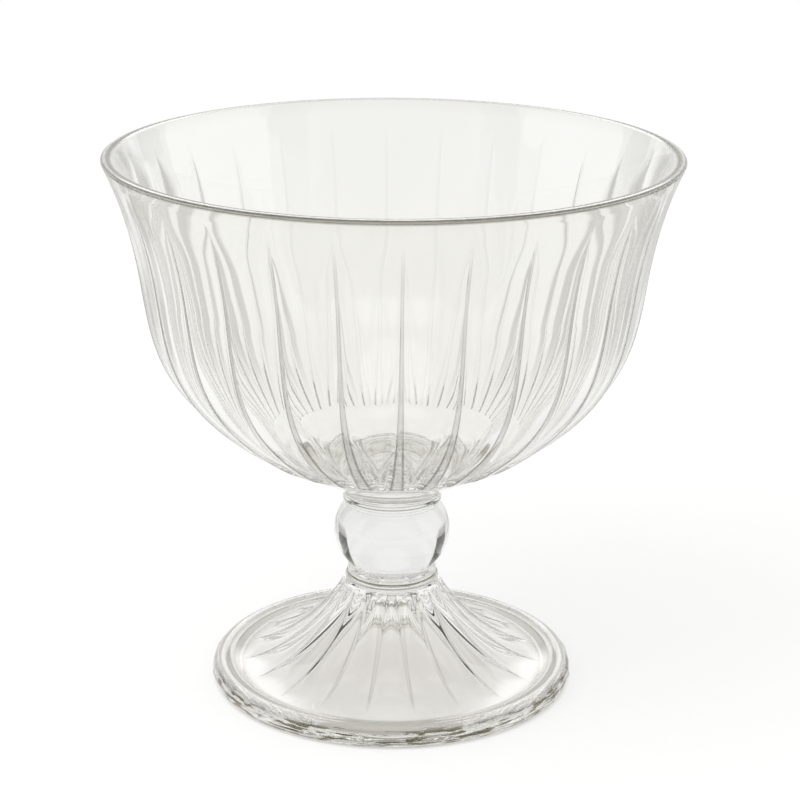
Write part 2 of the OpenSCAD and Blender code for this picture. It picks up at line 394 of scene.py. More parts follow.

# %% [markdown]
# ## Glass
# Pressed glass is clear but never perfect: its skin waves a little where it left the mould, washing and
# spoons leave a faint haze of hairlines, and the melt has a grey-green breath of colour. A thick ring also
# shows dark streaks round its side, which are painted shade with a slight relief. One shader group holds
# these four effects, and each gather of glass uses it with its own strengths.

# %% Shader group for the pressed skin
HAIRLINE_TURN = (0.4, 0.2, 0.7)
HAIRLINE_STRETCH = (1.0, 0.04, 0.3)
HAIRLINE_FROM = 0.66
SMEAR_SCALE = 70.0
finish = bpy.data.node_groups.new("pressed_skin", "ShaderNodeTree")
for title, default in (("Wave Scale", 40.0), ("Hairline Scale", 900.0), ("Wear", 0.5)):
    finish.interface.new_socket(title, in_out="INPUT", socket_type="NodeSocketFloat").default_value = default
for title in ("Height", "Haze", "Tint", "Dashes"):
    finish.interface.new_socket(title, in_out="OUTPUT", socket_type="NodeSocketFloat")
asked = finish.nodes.new("NodeGroupInput").outputs
put_out = finish.nodes.new("NodeGroupOutput").inputs
here = finish.nodes.new("ShaderNodeTexCoord").outputs["Object"]


def noise(where, scale, detail):
    """Soft noise between 0 and 1 at a place on the glass."""
    texture = finish.nodes.new("ShaderNodeTexNoise")
    return wire(finish, texture, Vector=where, Scale=scale, Detail=detail).outputs["Fac"]


stretch = finish.nodes.new("ShaderNodeMapping")
stretched = wire(finish, stretch, Vector=here, Rotation=HAIRLINE_TURN, Scale=HAIRLINE_STRETCH).outputs[0]
fine_noise = noise(stretched, asked["Hairline Scale"], detail=3.0)
hairlines = maths(finish, "GREATER_THAN", fine_noise, HAIRLINE_FROM)
smears = noise(here, SMEAR_SCALE, detail=4.0)
finish.links.new(noise(here, asked["Wave Scale"], detail=1.0), put_out["Height"])
finish.links.new(times(finish, hairlines, smears, asked["Wear"]), put_out["Haze"])
finish.links.new(smears, put_out["Tint"])
print("pressed_skin nodes so far:", len(finish.nodes))

# %% Painted shade streaks that run round the axis
STREAKS_ROUND = 7.5
STREAK_HEIGHT = 0.5 * MM
STREAK_FROM, STREAK_FULL = 0.5, 0.55
split = wire(finish, finish.nodes.new("ShaderNodeSeparateXYZ"), Vector=here).outputs
squares = [maths(finish, "POWER", split[title], 2.0) for title in ("X", "Y")]
reach = maths(finish, "MAXIMUM", maths(finish, "SQRT", plus(finish, *squares)), MM)
round_axis = wire(
    finish,
    finish.nodes.new("ShaderNodeCombineXYZ"),
    X=times(finish, maths(finish, "DIVIDE", split["X"], reach), STREAKS_ROUND),
    Y=times(finish, maths(finish, "DIVIDE", split["Y"], reach), STREAKS_ROUND),
    Z=maths(finish, "DIVIDE", split["Z"], STREAK_HEIGHT),
)
streak_noise = noise(round_axis.outputs[0], scale=1.0, detail=2.0)
finish.links.new(ranged(finish, streak_noise, STREAK_FROM, STREAK_FULL), put_out["Dashes"])
print("pressed_skin nodes:", len(finish.nodes))

# %% [markdown]
# The material draws what the points carry: the olive of thick glass deepened into painted shade in lines, the
# painted shade streaks, and the painted shade along the ribs. A rib that is met front-on shows less of its
# line than one at the side, and where the sight line leaves the glass again, on the far wall, lines and
# streaks are paler.

# %% Glass materials
GLASS_BENDING = 1.51
# olive of thick glass, deepened into painted shade for the drawn lines and streaks
OLIVE_AND_SHADE = (0.07, 0.062, 0.031)
# painted shade along the ribs
RIB_SHADE_COLOUR = (0.035, 0.033, 0.025)
FRONT_ON_LINE = 0.35
FULL_LINE_SLANT = 0.5
FAR_WALL = 0.3
CLEAN, WORN = 0.004, 0.16


def blend(tree, share, first, second):
    """A colour between two colours, each of them a socket or red, green and blue."""
    mix = tree.nodes.new("ShaderNodeMix")
    mix.data_type = "RGBA"
    a, b = (c if isinstance(c, bpy.types.NodeSocket) else (*c, 1.0) for c in (first, second))
    wire(tree, mix, Factor=share, A=a, B=b)
    return next(s for s in mix.outputs if s.enabled)


def drawn(tree, title):
    """A value that the piece's points carry."""
    attribute = tree.nodes.new("ShaderNodeAttribute")
    attribute.attribute_name = title
    return attribute.outputs["Fac"]


def clear_glass(name, wave_scale, wave_depth, wear, palest, deepest):
    """Clear glass with a waving skin, a worn haze and a slightly uneven tint between two colours."""
    material = bpy.data.materials.new(name)
    material.use_nodes = True
    tree = material.node_tree
    shader = tree.nodes["Principled BSDF"]
    shader.inputs["Transmission Weight"].default_value = 1.0
    shader.inputs["IOR"].default_value = GLASS_BENDING
    group = tree.nodes.new("ShaderNodeGroup")
    group.node_tree = finish
    pressed = wire(tree, group, Wave_Scale=wave_scale, Wear=wear).outputs
    slant = tree.nodes.new("ShaderNodeLayerWeight").outputs["Facing"]
    slanted = ranged(tree, slant, 0.0, FULL_LINE_SLANT, FRONT_ON_LINE, 1.0)
    leaving = tree.nodes.new("ShaderNodeNewGeometry").outputs["Backfacing"]
    near = ranged(tree, leaving, 0.0, 1.0, 1.0, FAR_WALL)
    dashed = times(tree, drawn(tree, "dashes"), pressed["Dashes"], near)
    # painted shade along the ribs, weaker front-on and on the far wall
    painted_ribs = times(tree, drawn(tree, "rib_line"), slanted, near)
    tint = blend(tree, pressed["Tint"], palest, deepest)
    # olive of thick glass mixed with painted shade lines and the ring's painted shade streaks
    olive_and_shaded = blend(tree, maths(tree, "MAXIMUM", drawn(tree, "edge"), dashed), tint, OLIVE_AND_SHADE)
    tree.links.new(blend(tree, painted_ribs, olive_and_shaded, RIB_SHADE_COLOUR), shader.inputs["Base Color"])
    tree.links.new(ranged(tree, pressed["Haze"], 0.0, 1.0, CLEAN, WORN), shader.inputs["Roughness"])
    relief = plus(tree, pressed["Height"], dashed)
    bump = wire(tree, tree.nodes.new("ShaderNodeBump"), Strength=1.0, Distance=wave_depth, Height=relief)
    tree.links.new(bump.outputs["Normal"], shader.inputs["Normal"])
    return material


PALE, DEEP = (0.955, 0.955, 0.936), (0.92, 0.918, 0.89)
STEM_PALE, STEM_DEEP = (0.875, 0.878, 0.868), (0.845, 0.845, 0.825)
PRESSED_WAVE, TURNED_WAVE = 0.05 * MM, 0.02 * MM
bowl_glass = clear_glass("bowl_glass", 45.0, PRESSED_WAVE, wear=0.35, palest=PALE, deepest=DEEP)
stem_glass = clear_glass("stem_glass", 60.0, TURNED_WAVE, wear=0.2, palest=STEM_PALE, deepest=STEM_DEEP)
foot_glass = clear_glass("foot_glass", 50.0, PRESSED_WAVE, wear=0.5, palest=PALE, deepest=DEEP)
print("glass:", bowl_glass.name, stem_glass.name, foot_glass.name)

# %% [markdown]
# Where two gathers are fused there is no surface left, so light must run straight on from one piece to the
# next. Each mesh stays closed, but its seat gets a finish with no opacity at all.

# %% Finish of a fused seat
fused_seat = bpy.data.materials.new("fused_seat")
fused_seat.use_nodes = True
fused_seat.node_tree.nodes["Principled BSDF"].inputs["Alpha"].default_value = 0.0
print("seat finish:", fused_seat.name)

# %% [markdown]
# ## From outline to piece
# The tree runs as a modifier on the outline. Its result is copied to a plain mesh, so that the piece stands
# on its own, and the outline goes. A signed volume above zero shows that the faces look outwards.

# %% Spin one piece
CM3 = 0.01**3


def signed_volume(mesh):
    """Volume inside a closed mesh, below zero if its faces look inwards."""
    mesh.calc_loop_triangles()
    at = mesh.vertices
    corners = [[at[i].co for i in triangle.vertices] for triangle in mesh.loop_triangles]
    return sum(a.dot(b.cross(c)) for a, b, c in corners) / 6


def spin_piece(name, node, line, glass, flutes, columns, depth=0.0, sag=0.0, turn=0.0, rib_shade=0.0):
    """Spins an outline into a closed glass piece that stands for one of the frame's nodes."""
    modifier = line.modifiers.new("spin", "NODES")
    modifier.node_group = spin
    identifiers = {s.name: s.identifier for s in spin.interface.items_tree if s.in_out == "INPUT"}
    for title, value in (
        ("Flutes", flutes),
        ("Columns", columns),
        ("Depth", depth),
        ("Panel Sag", sag),
        ("Rib Shade", rib_shade),
        ("Turn", turn),
        ("Glass", glass),
        ("Fused Seat", fused_seat),
    ):
        modifier[identifiers[title]] = value
    graph = bpy.context.evaluated_depsgraph_get()
    mesh = bpy.data.meshes.new_from_object(line.evaluated_get(graph))
    mesh.name = name
    line.modifiers.remove(modifier)
    bpy.data.objects.remove(line)
    if signed_volume(mesh) < 0:
        mesh.flip_normals()
    piece = bpy.data.objects.new(name, mesh)
    bpy.context.scene.collection.objects.link(piece)
    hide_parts(node)
    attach(piece, "root")
    print(name, len(mesh.polygons), "faces,", round(signed_volume(mesh) / CM3, 2), "cm3")


# %% [markdown]
# ## Foot
# The foot is a trumpet with twenty broad flutes that run out before a thick rounded ring. It is hollow
# below, so the table shows through it, and it stands on a narrow flat ring. Its outline starts at the top of
# the hollow, goes out under the foot, round the ring and up the trumpet.

# %% Foot sizes
RING_WIDTH = 4.6 * MM
RING_HEIGHT = 4.4 * MM
RING_WIDEST = 1.9 * MM
RING_STEP = 0.5 * MM
REST_WIDTH = 4.6 * MM
REST_INSET = 1.6 * MM
REST_ROUND = 0.6 * MM
FOOT_CROWN = 3.7 * MM
FOOT_TOP_RADIUS = 9.85 * MM
FOOT_BEAD_RADIUS = 9.7 * MM
FOOT_BEAD_HEIGHT = 1.4 * MM
FOOT_SEAT_RADIUS = FOOT_BEAD_RADIUS - FOOT_BEAD_HEIGHT / 2
rest_out = FOOT_RADIUS - REST_INSET
rest_in = rest_out - REST_WIDTH
ring_in = FOOT_RADIUS - RING_WIDTH
ring_middle = FOOT_RADIUS - RING_WIDTH / 2
print("foot stands on a ring from", round(rest_in / MM, 2), "to", round(rest_out / MM, 2), "mm")

# %% Foot outline
CURVE = 1.2 * MM
hollow_top = station(0, FOOT_HIGH.z - FOOT_CROWN, slope=0, pull_after=12 * MM)
hollow_edge = station(rest_in - REST_ROUND, REST_ROUND, slope=-8, pull_before=17 * MM, pull_after=0.3 * MM)
rest_inner = station(rest_in, 0, slope=0, pull_before=0.4 * MM)
ring_low = station(rest_out, 0, slope=0, pull_after=0.9 * MM)
ring_side = station(FOOT_RADIUS, RING_WIDEST, slope=90, pull_before=CURVE, pull_after=CURVE)
ring_top = station(ring_middle, RING_HEIGHT, slope=180, pull_before=CURVE, pull_after=CURVE)
trumpet_low = station(ring_in, RING_HEIGHT - RING_STEP, slope=170, pull_before=CURVE, pull_after=12 * MM)
trumpet_top = station(FOOT_TOP_RADIUS, FOOT_HIGH.z, slope=118, pull_before=8 * MM)
under_foot = smooth(hollow_top, hollow_edge, 40) + smooth(hollow_edge, rest_inner, 5)
rest = straight(rest_inner["point"], ring_low["point"], 4)
ring = smooth(ring_low, ring_side, 8) + smooth(ring_side, ring_top, 10) + smooth(ring_top, trumpet_low, 8)
trumpet = smooth(trumpet_low, trumpet_top, 60) + [trumpet_top["point"]]
foot_points = under_foot + rest + ring + trumpet + seat_disc(FOOT_HIGH.z, FOOT_SEAT_RADIUS)[::-1]
trumpet_points = {tuple(p) for p in trumpet}
print("foot outline:", len(foot_points), "points,", len(trumpet), "of them on the trumpet")

# %% [markdown]
# The flutes start just below the collar and run out towards the ring, and the ring itself keeps a slight
# ripple. Painted shade darkens the step beside the ring, the ring's inner slope and two lines round its side,
# and the top of the hollow is darker too.

# %% Foot flutes
FOOT_FLUTES = 20
FOOT_COLUMNS = 20
FOOT_FLUTE_DEPTH = 0.6 * MM
FOOT_SAG = 0.6
FOOT_RIB_SHADE = 0.5
FOOT_FLUTE_END = 32 * MM
FOOT_FLUTE_FADE = 10 * MM
FOOT_FLUTE_TOP = FOOT_HIGH.z - 0.6 * MM
FOOT_RIBS = [(12 * MM, 0.75 * MM), (FOOT_FLUTE_END, 0.25 * MM)]
RING_RIPPLE = 0.22
RIPPLE_RISE = 0.8 * MM
RIPPLE_FALL = 2 * MM


def foot_flute(p):
    """Share of the foot flute's depth at an outline point: none under the foot."""
    if p.x > rest_out:
        return RING_RIPPLE * ease(p.y / RIPPLE_RISE) * ease((RING_HEIGHT - p.y) / RIPPLE_FALL)
    below_collar = ease((FOOT_FLUTE_TOP - p.y) / MM)
    return (tuple(p) in trumpet_points) * below_collar * ease((FOOT_FLUTE_END - p.x) / FOOT_FLUTE_FADE)


print("deepest flute share on the foot:", round(max(foot_flute(p) for p in foot_points), 2))

# %% Painted shade on the foot, and a darker crown
STEP_SHADE, STEP_LINE = 0.6, 0.7 * MM
SLOPE_SHADE, SLOPE_FADE = 0.3, 0.4 * MM
RING_SHADE = 0.6
RING_LINES = [(3.5 * MM, 0.5 * MM), (0.9 * MM, 0.4 * MM)]
CROWN_TINT, CROWN_REACH, CROWN_FADE = 0.4, 5 * MM, 2 * MM
STREAK_RISE = 0.5 * MM


def foot_edge(p):
    """Painted shade of the foot at an outline point, and a darker crown at the top of the hollow."""
    if tuple(p) in trumpet_points:
        return STEP_SHADE * line_at(p.x, ring_in, STEP_LINE)
    if p.x >= ring_in:
        inner_slope = SLOPE_SHADE * ease((ring_middle - p.x) / SLOPE_FADE) * (p.y > RING_WIDEST)
        return max(inner_slope, RING_SHADE * max(line_at(p.y, middle, half) for middle, half in RING_LINES))
    return CROWN_TINT * ease((CROWN_REACH - p.x) / CROWN_FADE)


def foot_streaks(p):
    """Strength of the painted shade streaks: only on the ring's outer side."""
    return (p.x > ring_middle) * ease(p.y / STREAK_RISE) * ease((RING_HEIGHT - p.y) / MM)


foot_line = outline_object(
    "foot_line",
    foot_points,
    seats=[(FOOT_HIGH.z, FOOT_SEAT_RADIUS)],
    flute=foot_flute,
    rib=lambda p: between(p.x, FOOT_RIBS),
    edge=foot_edge,
    dashes=foot_streaks,
)
spin_piece(
    "glass_foot",
    "foot",
    foot_line,
    foot_glass,
    FOOT_FLUTES,
    FOOT_COLUMNS,
    depth=FOOT_FLUTE_DEPTH,
    sag=FOOT_SAG,
    turn=math.pi / FOOT_FLUTES,
    rib_shade=FOOT_RIB_SHADE,
)

# %% [markdown]
# ## Stem
# The stem is turned glass without flutes: a collar with a bead and a band, the solid knop, and a second
# collar with a finer bead. Their edges are rounded by the flame, so every corner is an arc. Fine lines of
# painted shade are drawn in the grooves of a collar and round its bead and band.

# %% Foot collar
ROUND_STEPS = 48
ROUND_COLUMNS = 4
FLAME_ROUND = 0.3 * MM
BAND_RADIUS = 9.2 * MM
KNOP_RADIUS = 12 * MM
KNOP_ROUND = 9 * MM
KNOP_WIDEST = KNOP_LOW.z + 6.9 * MM
OUTER_SHARE = 0.9
BEAD_LINE = 0.8
BAND_LINE = 0.4
GROOVE_WIDTH = 0.3 * MM
FINE_WIDTH = 0.25 * MM
BAND_LINES = (0.8 * MM, 1.6 * MM)


def knop_radius_at(height):
    """Radius of the knop's round outline at a height."""
    return KNOP_RADIUS - KNOP_ROUND + math.sqrt(KNOP_ROUND**2 - (height - KNOP_WIDEST) ** 2)


def flame_rounded(radius, height, start, end):
    """Points round an outer corner, given its radius and the height of its arc's centre."""
    return arc(Vector((radius - FLAME_ROUND, height)), FLAME_ROUND, start, end, steps=6)


bead_half = FOOT_BEAD_HEIGHT / 2
bead_centre = Vector((FOOT_SEAT_RADIUS, FOOT_HIGH.z + bead_half))
band_low = FOOT_HIGH.z + FOOT_BEAD_HEIGHT
band_high = FOOT_COLLAR_HIGH.z
band_side = [Vector((BAND_RADIUS, z)) for z in (band_low + FLAME_ROUND, band_high - FLAME_ROUND)]
knop_seat_radius = knop_radius_at(KNOP_LOW.z)
collar_points = seat_disc(FOOT_HIGH.z, FOOT_SEAT_RADIUS)
collar_points += arc(bead_centre, bead_half, -90, 90, steps=16)[1:]
collar_points += flame_rounded(BAND_RADIUS, band_low + FLAME_ROUND, -80, 0)
collar_points += straight(*band_side, steps=24)[1:]
collar_points += flame_rounded(BAND_RADIUS, band_high - FLAME_ROUND, 0, 90)
collar_points += seat_disc(band_high, knop_seat_radius)[::-1]


def collar_edge(p):
    """Painted shade in the groove between bead and band, on the bead, and in two fine lines on the band."""
    if p.x < OUTER_SHARE * BAND_RADIUS:
        return 0.0
    groove = line_at(p.y, band_low, GROOVE_WIDTH)
    bead = BEAD_LINE * line_at(p.y, bead_centre.y, FINE_WIDTH)
    return max(groove, bead, *(BAND_LINE * line_at(p.y, band_low + up, FINE_WIDTH) for up in BAND_LINES))


foot_collar_line = outline_object(
    "foot_collar_line",
    collar_points,
    seats=[(FOOT_HIGH.z, FOOT_SEAT_RADIUS), (band_high, knop_seat_radius)],
    edge=collar_edge,
)
spin_piece("glass_foot_collar", "foot_collar", foot_collar_line, stem_glass, ROUND_STEPS, ROUND_COLUMNS)

# %% Knop
NECK_BEAD_RADIUS = 10 * MM
NECK_BEAD_HALF = 0.35 * MM
neck_seat_radius = min(knop_radius_at(KNOP_HIGH.z), NECK_BEAD_RADIUS - NECK_BEAD_HALF)
knop_centre = Vector((KNOP_RADIUS - KNOP_ROUND, KNOP_WIDEST))
low_angle = math.degrees(math.asin((KNOP_LOW.z - KNOP_WIDEST) / KNOP_ROUND))
high_angle = math.degrees(math.asin((KNOP_HIGH.z - KNOP_WIDEST) / KNOP_ROUND))
knop_points = seat_disc(KNOP_LOW.z, knop_seat_radius)[:-1]
knop_points += arc(knop_centre, KNOP_ROUND, low_angle, high_angle, steps=72)
knop_points += seat_disc(KNOP_HIGH.z, neck_seat_radius)[-2::-1]
knop_line = outline_object(
    "knop_line", knop_points, seats=[(KNOP_LOW.z, knop_seat_radius), (KNOP_HIGH.z, neck_seat_radius)]
)
spin_piece("glass_knop", "knop", knop_line, stem_glass, ROUND_STEPS, ROUND_COLUMNS)

# %% Neck collar
TOP_LINE, TOP_LINE_DROP, TOP_LINE_WIDTH = 0.8, 0.1 * MM, 0.2 * MM
LOW_LINE_DROP = 0.75 * MM
neck_band_low = NECK_LOW.z + 2 * NECK_BEAD_HALF
neck_bead_centre = Vector((NECK_BEAD_RADIUS - NECK_BEAD_HALF, NECK_LOW.z + NECK_BEAD_HALF))
neck_side = [Vector((NECK_RADIUS, z)) for z in (neck_band_low + FLAME_ROUND, NECK_HIGH.z)]
neck_points = seat_disc(NECK_LOW.z, neck_seat_radius)
neck_points += arc(neck_bead_centre, NECK_BEAD_HALF, -90, 80, steps=14)
neck_points += flame_rounded(NECK_RADIUS, neck_band_low + FLAME_ROUND, -80, 0)
neck_points += straight(*neck_side, steps=16)[1:]
neck_points += seat_disc(NECK_HIGH.z, NECK_RADIUS)[::-1]


def neck_edge(p):
    """Painted shade in two lines round the collar."""
    if p.x < OUTER_SHARE * NECK_RADIUS:
        return 0.0
    top_line = TOP_LINE * line_at(p.y, NECK_HIGH.z - TOP_LINE_DROP, TOP_LINE_WIDTH)
    return max(top_line, line_at(p.y, NECK_HIGH.z - LOW_LINE_DROP, FINE_WIDTH))


neck_line = outline_object(
    "neck_line",
    neck_points,
    seats=[(NECK_LOW.z, neck_seat_radius), (NECK_HIGH.z, NECK_RADIUS)],
    edge=neck_edge,
)
spin_piece("glass_neck_collar", "neck_collar", neck_line, stem_glass, ROUND_STEPS, ROUND_COLUMNS)

# %% [markdown]
# ## Bowl
# Twenty-eight flutes rise from a plain cone above the collar. Low down wide ribs stand between them, and
# these narrow up the wall, grow flatter and fade out under the lip. The lip is a flat oval, wider than it is
# high. The inside is smooth, because the plunger that pressed it had to come out again. The outline goes up
# the outside, over the lip and down to the floor.

# %% Bowl sizes
LIP_WIDTH = 2.4 * MM
LIP_HEIGHT = 1.1 * MM
LIP_SLOPE = 65
BELLY_RADIUS = 50.7 * MM
BELLY_HEIGHT = BOWL_LOW.z + 45.8 * MM
BELLY_SLOPE = 81.5
UNDERSIDE_RADIUS = 28 * MM
UNDERSIDE_HEIGHT = BOWL_LOW.z + 10.5 * MM
UNDERSIDE_SLOPE = 33
FLOOR_HEIGHT = BOWL_LOW.z + 9.5 * MM
WALL = 3 * MM
LIP_START = -math.degrees(math.atan(LIP_HEIGHT / LIP_WIDTH / math.tan(math.radians(LIP_SLOPE))))
LIP_STEPS = 24
lip_centre = Vector((RIM_RADIUS - LIP_WIDTH / 2, BOWL_HIGH.z - LIP_HEIGHT / 2))


def lip_point(angle):
    """Point of the lip's oval edge at an angle in degrees."""
    turn = along(angle)
    return lip_centre + Vector((turn.x * LIP_WIDTH, turn.y * LIP_HEIGHT)) / 2


print("lip starts at", round(LIP_START, 1), "degrees round its oval")

# %% Bowl outline
UNDERSIDE_PULL = 23.5 * MM
BELLY_PULL = 12 * MM
FLARE_PULL = 3 * MM
LIP_PULL = 12 * MM
FINER_FROM, FINER_STEP, FINER_ROWS = 0.81, 0.009, 10
FINER_AT_LIP = (0.965, 0.975, 0.985, 0.993)
lip_out = lip_point(LIP_START)
lip_in = lip_point(LIP_START + 180)
underside = Vector((UNDERSIDE_RADIUS, UNDERSIDE_HEIGHT))
under_in = underside + WALL * along(UNDERSIDE_SLOPE + 90)
neck = station(NECK_RADIUS, BOWL_LOW.z, slope=76, pull_after=2.8 * MM)
under = station(*underside, UNDERSIDE_SLOPE, 3.2 * MM, UNDERSIDE_PULL)
belly = station(BELLY_RADIUS, BELLY_HEIGHT, BELLY_SLOPE, BELLY_PULL, FLARE_PULL)
lip = station(*lip_out, LIP_SLOPE, pull_before=LIP_PULL)
lip_inner = station(*lip_in, LIP_SLOPE + 180, pull_after=LIP_PULL)
belly_inner = station(BELLY_RADIUS - WALL, BELLY_HEIGHT, BELLY_SLOPE + 180, FLARE_PULL, BELLY_PULL)
under_inner = station(*under_in, UNDERSIDE_SLOPE + 180, UNDERSIDE_PULL, 5 * MM)
floor_middle = station(0, FLOOR_HEIGHT, slope=180, pull_before=14 * MM)
finer_at_flutes = [FINER_FROM + FINER_STEP * i for i in range(FINER_ROWS)]
outer = smooth(neck, under, 40, finer_at_flutes) + smooth(under, belly, 34)
outer += smooth(belly, lip, 24, FINER_AT_LIP)
over_lip = [lip_point(LIP_START + 180 * i / LIP_STEPS) for i in range(LIP_STEPS)]
inner = smooth(lip_inner, belly_inner, 14) + smooth(belly_inner, under_inner, 22)
inner += smooth(under_inner, floor_middle, 14) + [floor_middle["point"]]
bowl_points = seat_disc(BOWL_LOW.z, NECK_RADIUS)[:-1] + outer + over_lip + inner
outer_points = {tuple(p) for p in outer}
print("bowl outline:", len(outer), "points outside,", len(over_lip), "on the lip,", len(inner), "inside")

# %% Bowl flutes
BOWL_FLUTES = 28
BOWL_COLUMNS = 18
BOWL_FLUTE_DEPTH = 0.8 * MM
BOWL_SAG = 0.75
BOWL_TURN = math.radians(2)
BOWL_RIB_SHADE = 1.0
FLUTE_START = BOWL_LOW.z + 9.2 * MM
FLUTE_STOP = BOWL_HIGH.z - 4 * MM
FLUTE_RISE = 0.5 * MM
FLUTE_FADE = 9 * MM
FLATTER_BY = 0.7
FLATTER_OVER = 54 * MM
EVEN_OVER = 1.8 * MM
RIB_WIDTHS = [
    (0, 1.7 * MM),
    (8 * MM, 1.2 * MM),
    (16 * MM, 0.85 * MM),
    (27 * MM, 0.55 * MM),
    (42 * MM, 0.4 * MM),
]


def bowl_flute(p):
    """Share of the bowl flute's depth at an outline point: none on the lip or inside."""
    up = p.y - FLUTE_START
    flatter = 1.0 - FLATTER_BY * ease(up / FLATTER_OVER)
    below_lip = ease((FLUTE_STOP - p.y) / FLUTE_FADE)
    return (tuple(p) in outer_points) * ease(up / FLUTE_RISE) * flatter * below_lip


def bowl_rib(p):
    """Half the width of the rounded rib between two flutes. Past the flutes, columns are spread evenly."""
    rib = between(p.y - FLUTE_START, RIB_WIDTHS)
    even = (1 - PANEL_COLUMNS) * math.pi * p.x / BOWL_FLUTES
    past = ease((p.y - FLUTE_STOP) / EVEN_OVER) if tuple(p) in outer_points else 1.0
    return rib + (even - rib) * past


print("deepest flute share on the bowl:", round(max(bowl_flute(p) for p in bowl_points), 2))

# %% [markdown]
# A lip carries light round inside itself, so it looks like a bundle of lines: dark, clear, dark. The stops
# below paint these lines in olive and painted shade by the angle round the oval, from the outside over the
# top to the inside, with a paler band near the top as a painted highlight.

# %% Bowl: painted shade on the lip, and the piece
LIP_LINES = [
    (-14, 1.0),
    (-4, 1.0),
    (8, 0.5),
    (18, 0.6),
    (30, 0.95),
    (48, 0.95),
    (56, 0.3),
    (76, 0.3),
    (84, 1.0),
    (95, 0.9),
    (108, 1.0),
    (122, 0.9),
    (134, 0.35),
    (150, 0.15),
    (167, 0.1),
]
BELOW_LIP = 0.5 * MM
ON_OVAL = 1.001


def lip_edge(p):
    """Olive and painted shade in lines round the lip, with a paler band as a painted highlight, and a short
    fade below it.
    """
    turn = p - lip_centre
    oval = Vector((turn.x / LIP_WIDTH, turn.y / LIP_HEIGHT)) * 2
    if oval.length > ON_OVAL:
        return ease(1 - (lip_out.y - p.y) / BELOW_LIP) * (tuple(p) in outer_points)
    return between(math.degrees(math.atan2(oval.y, oval.x)), LIP_LINES)


bowl_line = outline_object(
    "bowl_line",
    bowl_points,
    seats=[(BOWL_LOW.z, NECK_RADIUS)],
    flute=bowl_flute,
    rib=bowl_rib,
    edge=lip_edge,
)
spin_piece(
    "glass_bowl",
    "bowl",
    bowl_line,
    bowl_glass,
    BOWL_FLUTES,
    BOWL_COLUMNS,
    depth=BOWL_FLUTE_DEPTH,
    sag=BOWL_SAG,
    turn=BOWL_TURN,
    rib_shade=BOWL_RIB_SHADE,
)

# %% [markdown]
# ## Floor
# Clear glass shows only what is round it. On a white sweep the walls stay pale, and the edges draw themselves
# in grey where they bend the sight line to something darker. So the floor is white for the camera, but glass
# sees dark wedges on it, which give the flutes their grey bands. The shade under the foot and where the ring
# touches the floor is painted too, because glass would let all the light through.

# %% Floor sheet
FLOOR_SIZE = 12.0
FLOOR_DROP = 0.1 * MM
half = FLOOR_SIZE / 2
floor_corners = [(x, y, -FLOOR_DROP) for x, y in ((-half, -half), (half, -half), (half, half), (-half, half))]
floor_mesh = bpy.data.meshes.new("floor")
floor_mesh.from_pydata(floor_corners, [], [(0, 1, 2, 3)])
floor = bpy.data.objects.new("floor", floor_mesh)
bpy.context.scene.collection.objects.link(floor)
sweep = bpy.data.materials.new("white_sweep")
sweep.use_nodes = True
ground = sweep.node_tree
ground.nodes.clear()
spot = ground.nodes.new("ShaderNodeTexCoord").outputs["Object"]
length = ground.nodes.new("ShaderNodeVectorMath")
length.operation = "LENGTH"
ground.links.new(spot, length.inputs[0])
away = length.outputs["Value"]
print("floor:", FLOOR_SIZE, "m")

# %% Painted shade under the foot
UNDER_FOOT = (0.9, 0.875, 0.85, 1)
INSIDE_RING = (1.0, 0.985, 0.965, 1)
CONTACT_SHADE = (0.6, 0.58, 0.53, 1)
OPEN_FLOOR = (1, 1, 1, 1)
INSIDE_REACH = 29 * MM
SHADE_REACH = 50 * MM
shade = ground.nodes.new("ShaderNodeValToRGB")
stops = shade.color_ramp.elements
stops[0].color = UNDER_FOOT
stops[1].position = FOOT_RADIUS / SHADE_REACH
stops[1].color = OPEN_FLOOR
for reach, colour in ((INSIDE_REACH, INSIDE_RING), (rest_in, CONTACT_SHADE), (rest_out, CONTACT_SHADE)):
    stops.new(reach / SHADE_REACH).color = colour
ground.links.new(maths(ground, "DIVIDE", away, SHADE_REACH), shade.inputs["Fac"])
print("shade under the foot:", len(stops), "stops")

# %% Dark wedges that only glass sees
WEDGE_COLOUR = (0.06, 0.05, 0.02)
PANEL_TURN = 51.5
PANEL_WEDGE = (PANEL_TURN, 13, 8, 0.6)
SIDE_WEDGE = (25, 11, 7, 0.45)
WEDGE_NEAR, WEDGE_FAR = 0.12, 0.24
GRAZING, STEEP = 0.84, 0.78
flat = wire(ground, ground.nodes.new("ShaderNodeSeparateXYZ"), Vector=spot).outputs
floor_turn = maths(
    ground, "ARCTAN2", maths(ground, "ABSOLUTE", flat["X"]), maths(ground, "ABSOLUTE", flat["Y"])
)


def wedge(middle, outside, inside, depth):
    """Depth of four mirrored wedges on the floor, by their turn from straight ahead in degrees."""
    off = maths(ground, "ABSOLUTE", minus(ground, floor_turn, math.radians(middle)))
    return eased(ground, off, math.radians(outside), math.radians(inside), 0.0, depth)


glance = ground.nodes.new("ShaderNodeLayerWeight").outputs["Facing"]
seen_from_above = times(ground, wedge(*SIDE_WEDGE), eased(ground, glance, GRAZING, STEEP))
wedges = maths(ground, "MAXIMUM", wedge(*PANEL_WEDGE), seen_from_above)
by_camera = ground.nodes.new("ShaderNodeLightPath").outputs["Is Camera Ray"]
darker = times(ground, wedges, eased(ground, away, WEDGE_NEAR, WEDGE_FAR), minus(ground, 1.0, by_camera))
floor_colour = blend(ground, darker, shade.outputs["Color"], WEDGE_COLOUR)
print("wedges at", PANEL_WEDGE[0], "and", SIDE_WEDGE[0], "degrees from straight ahead")

